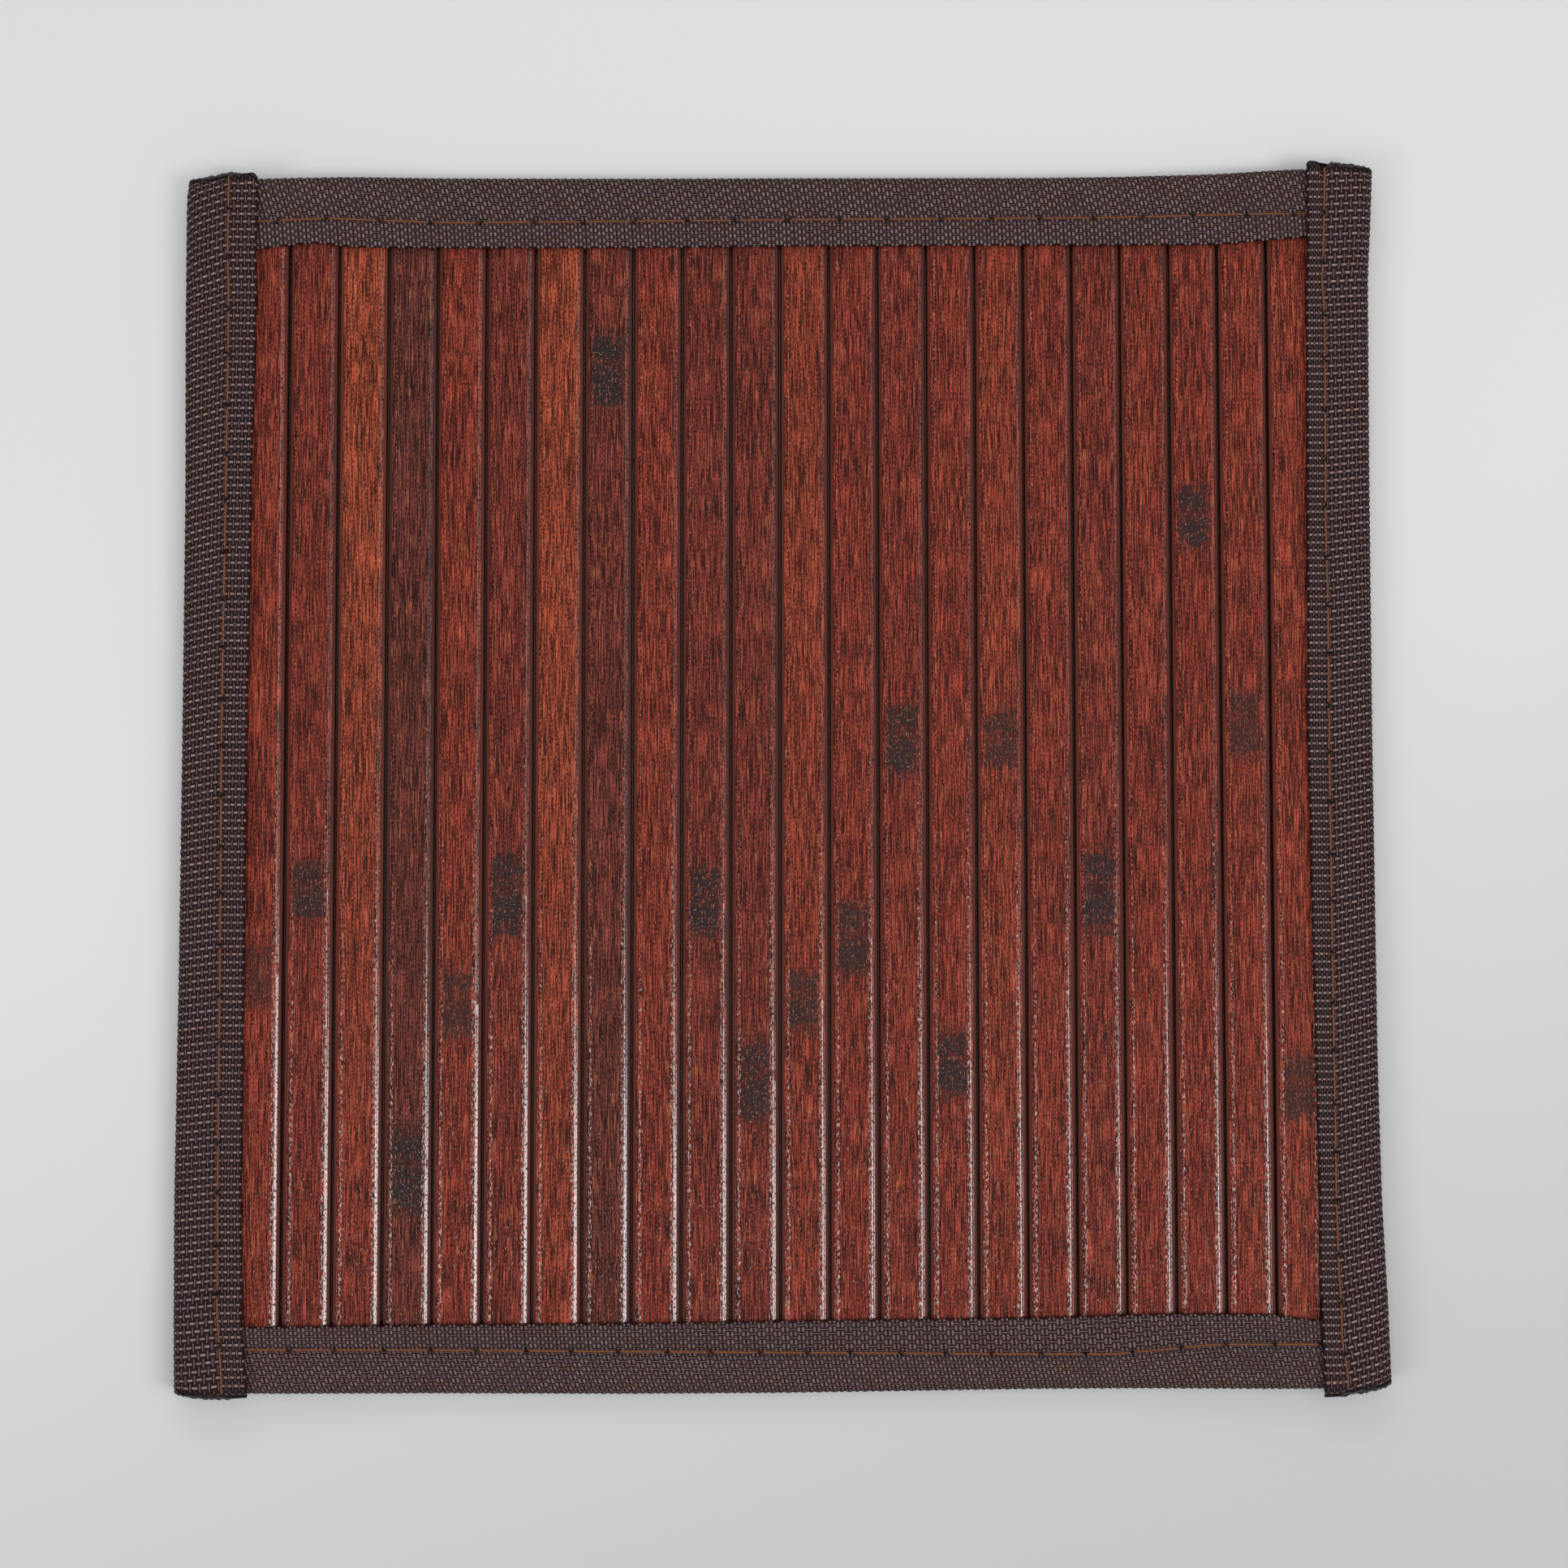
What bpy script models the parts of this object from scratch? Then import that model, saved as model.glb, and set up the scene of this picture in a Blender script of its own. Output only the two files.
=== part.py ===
"""A square bamboo trivet: a row of stained slats bound on all four edges with folded woven tape.

The slats run front to back (Y). A tape is folded over their front and back ends, and a second pair
of tapes is folded over the left and right sides, outside the ends of the first pair. The mat rests
on the four doubled corners and on the undersides of the front and back tapes. Z = 0 is that surface.
"""

import math
from collections import namedtuple

import bmesh
import bpy

MM = 0.001
COLLECTION = "Bamboo trivet"

# Slats
SLAT_COUNT = 24
SLAT_PITCH = 8.16 * MM
SLAT_GAP = 0.4 * MM
SLAT_THICKNESS = 1.6 * MM
EDGE_SLAT_TRIM = 1.0 * MM
LEFT_SHOULDER = 0.95 * MM
RIGHT_SHOULDER = 1.2 * MM
SHOULDER_DROP = 0.32 * MM
CROWN = 0.06 * MM
LOWER_CHAMFER = 0.2 * MM
END_SETBACK = 2.6 * MM

# Binding tape
TAPE_THICKNESS = 1.0 * MM
CLEARANCE = 0.3 * MM
LAYER = TAPE_THICKNESS + CLEARANCE
FOLD_SINGLE = SLAT_THICKNESS / 2 + CLEARANCE + TAPE_THICKNESS / 2
FOLD_DOUBLE = FOLD_SINGLE + LAYER
FOLD_AT_CUT = FOLD_DOUBLE - 0.3 * MM
FLANGE_STEPS = 3
FOLD_STEPS = 8
LEAST_STEP = 1.0 * MM

# The mat's edges lie one tape layer higher than its field, because the corners are doubled.
SLAT_BASE = LAYER
EDGE_RISE = LAYER
RISE_FULL_FROM = 10 * SLAT_PITCH
RISE_NONE_TO = 7 * SLAT_PITCH

# A side tape is folded wide over the front and back tapes, then closes down onto the slats alone.
CUT_EASE = 1.6 * MM
CORNER_FROM = 87.2 * MM
CORNER_TO = 81.5 * MM

# Sections of the tapes, in millimetres. along: the place along the tape. fold, inner and under:
# how far the folded edge, the upper selvedge and the lower selvedge lie from the mat's middle.
Section = namedtuple("Section", "along fold inner under")
LEFT_SECTIONS = (
    Section(-100.5, 98.75, 86.4, 88.8),
    Section(-89.0, 98.95, 87.4, 88.4),
    Section(-69.0, 99.10, 87.9, 86.6),
    Section(-32.0, 98.80, 87.8, 86.1),
    Section(8.0, 98.67, 87.7, 85.9),
    Section(48.0, 98.65, 87.4, 86.0),
    Section(75.5, 98.93, 87.0, 87.2),
    Section(98.0, 98.92, 86.7, 88.7),
    Section(100.3, 98.45, 86.8, 88.8),
)
RIGHT_SECTIONS = (
    Section(-100.5, 100.45, 88.8, 90.2),
    Section(-84.4, 99.96, 88.4, 89.0),
    Section(-69.8, 99.28, 88.6, 87.2),
    Section(-45.8, 98.86, 88.2, 86.4),
    Section(8.0, 98.67, 87.5, 86.0),
    Section(48.9, 98.74, 87.9, 86.2),
    Section(85.4, 98.94, 88.1, 88.6),
    Section(92.0, 99.37, 88.2, 89.2),
    Section(103.0, 99.86, 88.2, 89.6),
)
BACK_SECTIONS = (
    Section(-95.0, 100.10, 87.8, 89.0),
    Section(-86.5, 100.27, 88.0, 89.2),
    Section(-77.0, 100.60, 89.2, 89.4),
    Section(-71.8, 100.80, 88.5, 89.5),
    Section(-24.5, 100.98, 88.8, 89.6),
    Section(0.0, 101.20, 89.2, 89.7),
    Section(43.6, 101.51, 89.6, 89.9),
    Section(73.8, 102.10, 89.7, 90.6),
    Section(86.8, 102.90, 90.8, 91.3),
    Section(95.7, 103.00, 91.2, 91.5),
)
FRONT_SECTIONS = (
    Section(-95.0, 100.40, 89.6, 88.8),
    Section(-87.3, 100.48, 89.5, 88.9),
    Section(-27.5, 100.91, 89.3, 89.6),
    Section(0.0, 100.87, 89.0, 89.7),
    Section(42.5, 100.38, 88.6, 89.3),
    Section(63.6, 100.35, 88.0, 89.4),
    Section(80.5, 100.38, 88.0, 89.4),
    Section(86.9, 100.39, 88.9, 89.0),
    Section(96.2, 100.20, 89.0, 89.0),
)

# Where each side tape's cut ends lie, in millimetres: at its folded edge and at its selvedges.
CutEnd = namedtuple("CutEnd", "at_fold at_selvedge")
LEFT_CUTS = (CutEnd(-100.2, -100.8), CutEnd(100.1, 100.5))
RIGHT_CUTS = (CutEnd(-99.7, -101.3), CutEnd(102.6, 103.5))

# side: which way the folded edge faces. cuts: None for the front and back tapes, whose ends are
# square and hidden inside the side tapes.
Tape = namedtuple("Tape", "name sections side cuts")
TAPES = (
    Tape("tape_left", LEFT_SECTIONS, -1, LEFT_CUTS),
    Tape("tape_right", RIGHT_SECTIONS, 1, RIGHT_CUTS),
    Tape("tape_top", BACK_SECTIONS, 1, None),
    Tape("tape_bottom", FRONT_SECTIONS, -1, None),
)

# Colour (linear), roughness
Finish = namedtuple("Finish", "name colour roughness")
BAMBOO = Finish("Stained bamboo", (0.17, 0.035, 0.022), 0.42)
WEBBING = Finish("Brown webbing", (0.05, 0.032, 0.03), 0.85)


def clear_scene():
    for item in list(bpy.data.objects):
        bpy.data.objects.remove(item, do_unlink=True)


def make_material(finish):
    material = bpy.data.materials.new(finish.name)
    material.use_nodes = True
    shader = material.node_tree.nodes["Principled BSDF"]
    shader.inputs["Base Color"].default_value = (*finish.colour, 1.0)
    shader.inputs["Roughness"].default_value = finish.roughness
    shader.inputs["Metallic"].default_value = 0.0
    return material


def between(value, low, high):
    """How far a value has gone from low to high, kept from 0 to 1."""
    return min(1.0, max(0.0, (value - low) / (high - low)))


def section_at(sections, along):
    """The fold, inner and under distances at one place along a tape, in metres."""
    place = along / MM
    for before, after in zip(sections, sections[1:]):
        if place <= after.along:
            break
    share = between(place, before.along, after.along)
    return [(low + (high - low) * share) * MM for low, high in zip(before[1:], after[1:])]


def edge_rise(x):
    """How much higher than the field the mat lies at this distance from its middle."""
    return EDGE_RISE * between(abs(x), RISE_NONE_TO, RISE_FULL_FROM)


def slat_profile(width):
    """The slat's cross-section: a slightly crowned face between two sloping shoulders."""
    half = width / 2
    shoulder_height = SLAT_THICKNESS - SHOULDER_DROP
    face_height = SLAT_THICKNESS - CROWN
    return (
        (-half + LOWER_CHAMFER, 0.0),
        (half - LOWER_CHAMFER, 0.0),
        (half, LOWER_CHAMFER),
        (half, shoulder_height),
        (half - RIGHT_SHOULDER, face_height),
        (0.0, SLAT_THICKNESS),
        (-half + LEFT_SHOULDER, face_height),
        (-half, shoulder_height),
        (-half, LOWER_CHAMFER),
    )


def add_slat(index, collection, material):
    """One slat: its cross-section is a flat curve, extruded along Y."""
    width = SLAT_PITCH - SLAT_GAP
    x = (index - (SLAT_COUNT - 1) / 2) * SLAT_PITCH
    if index in (0, SLAT_COUNT - 1):
        width -= EDGE_SLAT_TRIM
        x -= math.copysign(EDGE_SLAT_TRIM / 2, x)
    back = section_at(BACK_SECTIONS, x)[0] - END_SETBACK
    front = END_SETBACK - section_at(FRONT_SECTIONS, x)[0]
    curve = bpy.data.curves.new(f"slat_{index + 1:02d}", "CURVE")
    curve.dimensions = "2D"
    curve.fill_mode = "BOTH"
    curve.extrude = (back - front) / 2
    outline = slat_profile(width)
    spline = curve.splines.new("POLY")
    spline.points.add(len(outline) - 1)
    for point, (across, height) in zip(spline.points, outline):
        point.co = (across, height, 0.0, 1.0)
    spline.use_cyclic_u = True
    slat = bpy.data.objects.new(curve.name, curve)
    step = SLAT_PITCH / 2
    tilt = math.atan2(edge_rise(x - step) - edge_rise(x + step), 2 * step)
    slat.rotation_euler = (math.radians(90), tilt, 0.0)
    slat.location = (x, (back + front) / 2, SLAT_BASE + edge_rise(x))
    curve.materials.append(material)
    collection.objects.link(slat)
    return slat


def fold_radius(tape, along):
    """A side tape's fold is wide over the doubled corners, and eased at the cut."""
    if not tape.cuts:
        return FOLD_SINGLE
    from_cut = min(along - tape.sections[0].along * MM, tape.sections[-1].along * MM - along)
    if from_cut < CUT_EASE:
        return FOLD_AT_CUT + (FOLD_DOUBLE - FOLD_AT_CUT) * between(from_cut, 0.0, CUT_EASE)
    return FOLD_SINGLE + (FOLD_DOUBLE - FOLD_SINGLE) * between(abs(along), CORNER_TO, CORNER_FROM)


def placed(tape, along, distance, height):
    """The point of a tape at this distance from the mat's middle and height from the slats' middle."""
    slats_middle = SLAT_BASE + SLAT_THICKNESS / 2
    if tape.cuts:
        return (tape.side * distance, along, slats_middle + EDGE_RISE + height)
    return (along, tape.side * distance, slats_middle + edge_rise(along) + height)


def stations_of(tape):
    """Places along a tape: its sections, and where its fold or the mat's height changes."""
    places = {section.along * MM for section in tape.sections}
    changes = (RISE_FULL_FROM, RISE_NONE_TO)
    if tape.cuts:
        changes = (CORNER_FROM, (CORNER_FROM + CORNER_TO) / 2, CORNER_TO)
        places |= {tape.sections[0].along * MM + CUT_EASE, tape.sections[-1].along * MM - CUT_EASE}
    for distance in changes:
        places |= {-distance, distance}
    stations = []
    for place in sorted(places):
        if not stations or place - stations[-1] > LEAST_STEP:
            stations.append(place)
    return stations


def folded_section(distances, radius):
    """Middle line of the folded tape, as (distance from the mat's middle, height from its own middle)."""
    fold, inner, under = distances
    centre = fold - TAPE_THICKNESS / 2 - radius
    line = []
    for step in range(FLANGE_STEPS):
        line.append((inner + (centre - inner) * step / FLANGE_STEPS, radius))
    for step in range(FOLD_STEPS + 1):
        angle = math.pi * step / FOLD_STEPS
        line.append((centre + radius * math.sin(angle), radius * math.cos(angle)))
    for step in range(1, FLANGE_STEPS + 1):
        line.append((centre + (under - centre) * step / FLANGE_STEPS, -radius))
    return line


def add_tape(tape, collection, material):
    """A grid with a row at each station, folded in section and then thickened."""
    stations = stations_of(tape)
    columns = 2 * FLANGE_STEPS + FOLD_STEPS
    rows = len(stations) - 1
    grid = bmesh.new()
    bmesh.ops.create_grid(grid, x_segments=columns, y_segments=rows, size=1.0)
    for vertex in grid.verts:
        column = round((vertex.co.x + 1) / 2 * columns)
        row = round((vertex.co.y + 1) / 2 * rows)
        along = stations[row]
        distances = section_at(tape.sections, along)
        distance, height = folded_section(distances, fold_radius(tape, along))[column]
        if tape.cuts and row in (0, rows):
            cut = tape.cuts[0 if row == 0 else 1]
            inward = between(distance, distances[0], distances[1])
            along = (cut.at_fold + (cut.at_selvedge - cut.at_fold) * inward) * MM
        vertex.co = placed(tape, along, distance, height)
    mesh = bpy.data.meshes.new(tape.name)
    grid.to_mesh(mesh)
    grid.free()
    mesh.materials.append(material)
    mesh.shade_smooth()
    mesh.set_sharp_from_angle(angle=math.radians(40))
    item = bpy.data.objects.new(tape.name, mesh)
    collection.objects.link(item)
    thickness = item.modifiers.new("Tape thickness", "SOLIDIFY")
    thickness.thickness = TAPE_THICKNESS
    thickness.offset = 0.0
    thickness.use_even_offset = True
    return item


def centre_on_origin(parts):
    """Moves all the parts so that the middle of the object's outline is at X = Y = 0."""
    bpy.context.view_layer.update()
    depsgraph = bpy.context.evaluated_depsgraph_get()
    points = []
    for part in parts:
        evaluated = part.evaluated_get(depsgraph)
        mesh = evaluated.to_mesh()
        points += [evaluated.matrix_world @ vertex.co for vertex in mesh.vertices]
        evaluated.to_mesh_clear()
    for axis in (0, 1):
        middle = (min(p[axis] for p in points) + max(p[axis] for p in points)) / 2
        for part in parts:
            part.location[axis] -= middle


def build():
    clear_scene()
    collection = bpy.data.collections.new(COLLECTION)
    bpy.context.scene.collection.children.link(collection)
    bamboo = make_material(BAMBOO)
    webbing = make_material(WEBBING)
    parts = [add_slat(index, collection, bamboo) for index in range(SLAT_COUNT)]
    parts += [add_tape(tape, collection, webbing) for tape in TAPES]
    centre_on_origin(parts)


build()
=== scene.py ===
"""A square bamboo trivet: stained slats bound on four edges with folded, stitched woven tape."""

import math
import random
from collections import namedtuple

import bmesh
import bpy
import numpy as np
from bpy.props import FloatProperty, FloatVectorProperty, IntProperty, PointerProperty
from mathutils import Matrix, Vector, noise


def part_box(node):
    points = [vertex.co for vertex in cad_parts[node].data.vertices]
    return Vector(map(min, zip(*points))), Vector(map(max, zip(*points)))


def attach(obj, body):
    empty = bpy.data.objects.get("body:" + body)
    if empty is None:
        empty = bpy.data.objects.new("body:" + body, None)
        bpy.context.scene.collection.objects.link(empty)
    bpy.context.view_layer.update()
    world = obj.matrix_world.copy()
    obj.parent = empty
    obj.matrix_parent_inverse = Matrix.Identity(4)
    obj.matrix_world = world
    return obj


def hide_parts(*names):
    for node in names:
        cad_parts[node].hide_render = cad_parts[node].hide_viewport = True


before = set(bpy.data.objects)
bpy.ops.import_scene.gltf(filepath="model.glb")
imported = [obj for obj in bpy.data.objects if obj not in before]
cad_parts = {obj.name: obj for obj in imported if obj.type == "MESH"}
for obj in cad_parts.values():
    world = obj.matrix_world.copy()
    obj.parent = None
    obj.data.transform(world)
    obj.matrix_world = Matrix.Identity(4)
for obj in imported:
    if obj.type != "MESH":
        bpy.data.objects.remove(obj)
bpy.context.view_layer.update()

bl_info = {
    "name": "Bamboo trivet",
    "version": (1, 0, 0),
    "blender": (4, 5, 0),
    "location": "3D View > Sidebar > Trivet",
    "description": "Makes a bamboo trivet bound with woven tape, piece by piece",
    "category": "Object",
}

MM = 0.001

# Slats, in millimetres
SLAT_COUNT = 24
SLAT_PITCH = 8.16
SLAT_GAP = 0.4
SLAT_THICKNESS = 1.6
EDGE_SLAT_TRIM = 1.0
END_SETBACK = 2.6

# Tape, in millimetres
TAPE_THICKNESS = 1.0
FOLD_SINGLE = 1.6
FOLD_DOUBLE = 2.9
FOLD_AT_CUT = 2.6
CUT_EASE = 1.6
CORNER_FROM = 87.2
CORNER_TO = 81.5

# Heights, in millimetres
SLAT_BASE = 1.3
SLATS_MIDDLE = SLAT_BASE + SLAT_THICKNESS / 2
EDGE_RISE = 1.3
RISE_FULL_FROM = 10 * SLAT_PITCH
RISE_NONE_TO = 7 * SLAT_PITCH

# The tapes' sections, as in the CAD. along: the place along the tape. fold, inner, under: how far
# the folded edge, the upper selvedge and the lower selvedge lie from the mat's middle. All in
# millimetres from the mat's own middle, which `mat_middle` finds in the frame.
Section = namedtuple("Section", "along fold inner under")
LEFT_SECTIONS = (
    Section(-100.5, 98.75, 86.4, 88.8),
    Section(-89.0, 98.95, 87.4, 88.4),
    Section(-69.0, 99.10, 87.9, 86.6),
    Section(-32.0, 98.80, 87.8, 86.1),
    Section(8.0, 98.67, 87.7, 85.9),
    Section(48.0, 98.65, 87.4, 86.0),
    Section(75.5, 98.93, 87.0, 87.2),
    Section(98.0, 98.92, 86.7, 88.7),
    Section(100.3, 98.45, 86.8, 88.8),
)
RIGHT_SECTIONS = (
    Section(-100.5, 100.45, 88.8, 90.2),
    Section(-84.4, 99.96, 88.4, 89.0),
    Section(-69.8, 99.28, 88.6, 87.2),
    Section(-45.8, 98.86, 88.2, 86.4),
    Section(8.0, 98.67, 87.5, 86.0),
    Section(48.9, 98.74, 87.9, 86.2),
    Section(85.4, 98.94, 88.1, 88.6),
    Section(92.0, 99.37, 88.2, 89.2),
    Section(103.0, 99.86, 88.2, 89.6),
)
BACK_SECTIONS = (
    Section(-95.0, 100.10, 87.8, 89.0),
    Section(-86.5, 100.27, 88.0, 89.2),
    Section(-77.0, 100.60, 89.2, 89.4),
    Section(-71.8, 100.80, 88.5, 89.5),
    Section(-24.5, 100.98, 88.8, 89.6),
    Section(0.0, 101.20, 89.2, 89.7),
    Section(43.6, 101.51, 89.6, 89.9),
    Section(73.8, 102.10, 89.7, 90.6),
    Section(86.8, 102.90, 90.8, 91.3),
    Section(95.7, 103.00, 91.2, 91.5),
)
FRONT_SECTIONS = (
    Section(-95.0, 100.40, 89.6, 88.8),
    Section(-87.3, 100.48, 89.5, 88.9),
    Section(-27.5, 100.91, 89.3, 89.6),
    Section(0.0, 100.87, 89.0, 89.7),
    Section(42.5, 100.38, 88.6, 89.3),
    Section(63.6, 100.35, 88.0, 89.4),
    Section(80.5, 100.38, 88.0, 89.4),
    Section(86.9, 100.39, 88.9, 89.0),
    Section(96.2, 100.20, 89.0, 89.0),
)

# Stitch lines. along: the place along the tape. out: the line's distance from the mat's middle.
Seam = namedtuple("Seam", "along out")
LEFT_SEAM = (
    Seam(-98.6, 90.56),
    Seam(-84.3, 91.58),
    Seam(-69.2, 91.74),
    Seam(-32.3, 91.76),
    Seam(7.6, 91.93),
    Seam(34.5, 91.76),
    Seam(49.2, 91.67),
    Seam(68.7, 91.53),
    Seam(87.0, 91.60),
    Seam(99.7, 91.53),
)
RIGHT_SEAM = (
    Seam(-97.2, 92.64),
    Seam(-92.6, 91.72),
    Seam(-86.6, 91.71),
    Seam(-69.7, 91.34),
    Seam(2.1, 91.05),
    Seam(29.5, 91.12),
    Seam(43.1, 90.87),
    Seam(54.0, 91.01),
    Seam(78.3, 91.16),
    Seam(84.3, 90.64),
    Seam(99.8, 91.16),
)
BACK_SEAM = (
    Seam(-86.4, 92.60),
    Seam(-75.5, 93.27),
    Seam(-53.8, 92.87),
    Seam(0.0, 93.67),
    Seam(43.5, 94.19),
    Seam(87.0, 94.92),
)
FRONT_SEAM = (
    Seam(-85.8, 93.16),
    Seam(-27.5, 93.80),
    Seam(42.4, 94.45),
    Seam(55.0, 94.50),
    Seam(63.6, 93.66),
    Seam(71.6, 92.90),
    Seam(88.4, 92.89),
)

# Outlines of the side tapes' melted cut ends. out: distance from the mat's middle. along: the cut.
Cut = namedtuple("Cut", "out along")
LEFT_FRONT_CUT = (
    Cut(86.0, -100.1),
    Cut(86.6, -100.7),
    Cut(90.2, -100.7),
    Cut(93.5, -100.7),
    Cut(96.1, -100.4),
    Cut(97.9, -100.0),
    Cut(98.9, -99.9),
)
LEFT_BACK_CUT = (
    Cut(86.9, 99.8),
    Cut(87.2, 100.4),
    Cut(87.7, 100.6),
    Cut(89.3, 100.2),
    Cut(90.8, 100.3),
    Cut(94.2, 99.7),
    Cut(95.5, 99.4),
    Cut(97.9, 99.4),
)
RIGHT_FRONT_CUT = (
    Cut(88.7, -101.3),
    Cut(91.2, -101.2),
    Cut(92.6, -100.7),
    Cut(96.6, -100.2),
    Cut(99.6, -99.3),
)
RIGHT_BACK_CUT = (
    Cut(88.0, 102.9),
    Cut(88.6, 103.6),
    Cut(89.9, 103.5),
    Cut(90.5, 102.7),
    Cut(91.0, 101.9),
    Cut(91.8, 102.8),
    Cut(92.5, 103.2),
    Cut(94.0, 102.9),
    Cut(99.2, 102.4),
)

# How far the weft rows slant outside the seam. along: the place. rise: millimetres per millimetre.
Slant = namedtuple("Slant", "along rise")
LEFT_SLANT = (Slant(-92.0, -0.1), Slant(-40.0, -0.12), Slant(10.0, -0.21), Slant(78.0, -0.34))
RIGHT_SLANT = (Slant(-75.0, 0.28), Slant(-23.0, 0.23), Slant(44.0, 0.126), Slant(78.0, 0.064))
BACK_SLANT = (Slant(-74.0, -0.29), Slant(-23.0, -0.25), Slant(11.0, -0.14), Slant(79.0, -0.26))
FRONT_SLANT = (Slant(-74.0, 0.33), Slant(-23.0, 0.29), Slant(11.0, 0.175), Slant(79.0, 0.29))

# Painted highlights on the yarns, stronger or weaker on each tape by how the lamps catch it. dash, bar:
# strength of the painted highlight on the weft and on the warp. twin: 1 where each weft's painted
# highlight is two lines, one along each side, 0 where it is one line along its middle.
Shine = namedtuple("Shine", "dash bar twin")

# first_hole, stitch: a needle hole's place along the tape, and the distance to the next one.
Tape = namedtuple(
    "Tape", "name node side is_side sections seam slant cuts ends first_hole stitch length shine")
TAPES = (
    Tape("left", "tape_left", -1, True, LEFT_SECTIONS, LEFT_SEAM, LEFT_SLANT,
         (LEFT_FRONT_CUT, LEFT_BACK_CUT), (-100.5, 100.3), -92.3, 8.12, 201.5, Shine(0.85, 0.7, 0.0)),
    Tape("right", "tape_right", 1, True, RIGHT_SECTIONS, RIGHT_SEAM, RIGHT_SLANT,
         (RIGHT_FRONT_CUT, RIGHT_BACK_CUT), (-100.5, 103.0), -94.4, 8.22, 204.9, Shine(0.9, 0.75, 0.0)),
    Tape("back", "tape_top", 1, False, BACK_SECTIONS, BACK_SEAM, BACK_SLANT,
         None, (-95.0, 95.7), -83.9, 8.52, 190.7, Shine(0.62, 0.42, 1.0)),
    Tape("front", "tape_bottom", -1, False, FRONT_SECTIONS, FRONT_SEAM, FRONT_SLANT,
         None, (-95.0, 96.2), -80.1, 7.66, 191.2, Shine(0.52, 0.62, 1.0)),
)

# Slats from left to right. back, front: tone at either end, -1 darkest, 0 red brown, 1 orange. knot:
# the joint's place along the slat in millimetres, or None. reach: half its dark length. dark: 0 to 1.
Slat = namedtuple("Slat", "back front knot reach dark")
SLATS = (
    Slat(0.0, 0.0, None, 0.0, 0.0),
    Slat(0.05, 0.05, -32.4, 5.5, 0.5),
    Slat(-0.15, -0.1, -18.3, 5.5, 0.85),
    Slat(0.75, -0.05, None, 0.0, 0.0),
    Slat(-0.75, -0.6, -64.3, 7.5, 0.9),
    Slat(0.1, 0.0, -37.0, 6.5, 0.7),
    Slat(-0.3, -0.15, -19.0, 8.0, 0.9),
    Slat(0.6, 0.15, None, 0.0, 0.0),
    Slat(-0.35, -0.75, 68.5, 7.0, 0.95),
    Slat(0.1, 0.0, None, 0.0, 0.0),
    Slat(-0.3, -0.2, -20.3, 6.5, 0.95),
    Slat(-0.3, -0.25, -49.7, 7.5, 0.85),
    Slat(0.3, 0.05, -36.4, 5.5, 0.8),
    Slat(0.0, 0.0, -26.3, 7.0, 0.8),
    Slat(-0.1, -0.05, 6.6, 6.5, 0.9),
    Slat(0.05, 0.0, -47.0, 6.0, 0.9),
    Slat(0.2, 0.15, 6.6, 5.5, 0.7),
    Slat(0.0, 0.05, None, 0.0, 0.0),
    Slat(-0.15, -0.15, -18.3, 7.5, 0.9),
    Slat(0.05, 0.0, None, 0.0, 0.0),
    Slat(0.0, 0.0, 43.9, 6.0, 0.85),
    Slat(0.05, 0.05, 9.3, 6.5, 0.65),
    Slat(0.1, 0.1, -51.0, 6.0, 0.7),
    Slat(0.0, 0.0, None, 0.0, 0.0),
)

# Weave of the tape: warps between one line and the next across it, and samples for each warp.
Zone = namedtuple("Zone", "warps samples")
SELVEDGE_TO_SEAM = Zone(7, 4)
SEAM_TO_FOLD = Zone(13, 3)
FOLD_TO_UNDER_SEAM = Zone(13, 3)
UNDER_SEAM_TO_SELVEDGE = Zone(8, 3)
ROW_SAMPLES = 4

# The tape's selvedges: radius in millimetres of their rounding, and columns round them and inside.
RIM = 0.35
RIM_STEPS = 3
INNER_STEPS = 9

# What is woven past each end of a tape before it is cut off, in millimetres.
EXTRA = 4.0

# Needle holes and the groove that the thread pulls, in millimetres. The holes wander a little. Each hole
# is darkened with painted shade, and the seam gets a share of that painted shade.
HOLE_RADIUS = 0.48
HOLE_DEPTH = 0.5
HOLE_WANDER = 0.3
GROOVE_RADIUS = 0.5
GROOVE_DEPTH = 0.14
SEAM_SHADE_RADIUS = 0.38
SEAM_SHADE = 0.6

# Beads along the melted ends: points round one and along it, and in millimetres half its thickness
# and how far it mostly stands out from the cut.
BEAD_SIDES = 8
BEAD_STEPS = 150
BEAD_THICK = 0.47
BEAD_REACH = 0.3

# Thread: points round a ply and along one stitch, and how it sinks at a hole, in millimetres.
PLY_SIDES = 6
STITCH_STEPS = 22
SINK_RADIUS = 0.45
SINK_DEPTH = 0.75


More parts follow.
